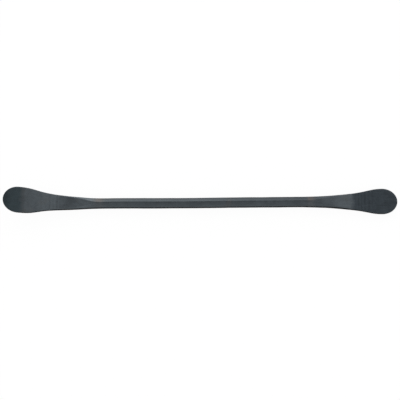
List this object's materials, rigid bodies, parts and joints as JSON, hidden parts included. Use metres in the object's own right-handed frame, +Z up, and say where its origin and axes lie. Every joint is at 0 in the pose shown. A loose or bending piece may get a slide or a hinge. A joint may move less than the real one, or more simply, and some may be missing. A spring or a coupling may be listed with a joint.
{
  "type": "spoon-ended pry bar",
  "caption": "Forged steel pry bar: a hexagonal shank that flattens into a broad rounded spoon at either end, curved upward at -X and straight in line with the shank at +X.",
  "frame": {"origin": "on the axis of the hexagonal shank, half way between the two spoon tips", "axes": "+X along the shank towards the straight spoon, +Z up, the way the tip of the curved spoon rises, +Y across the flat of the spoons; the bar is its own mirror image in Y"},
  "size_m": [0.61, 0.041, 0.0387],
  "materials": {
    "black_oxide_steel": "satin black oxide over forging scale, brownish temper rings where the spoons were heated"
  },
  "bodies": {
    "root": {"forged_bar": "black_oxide_steel"}
  },
  "joints": []
}
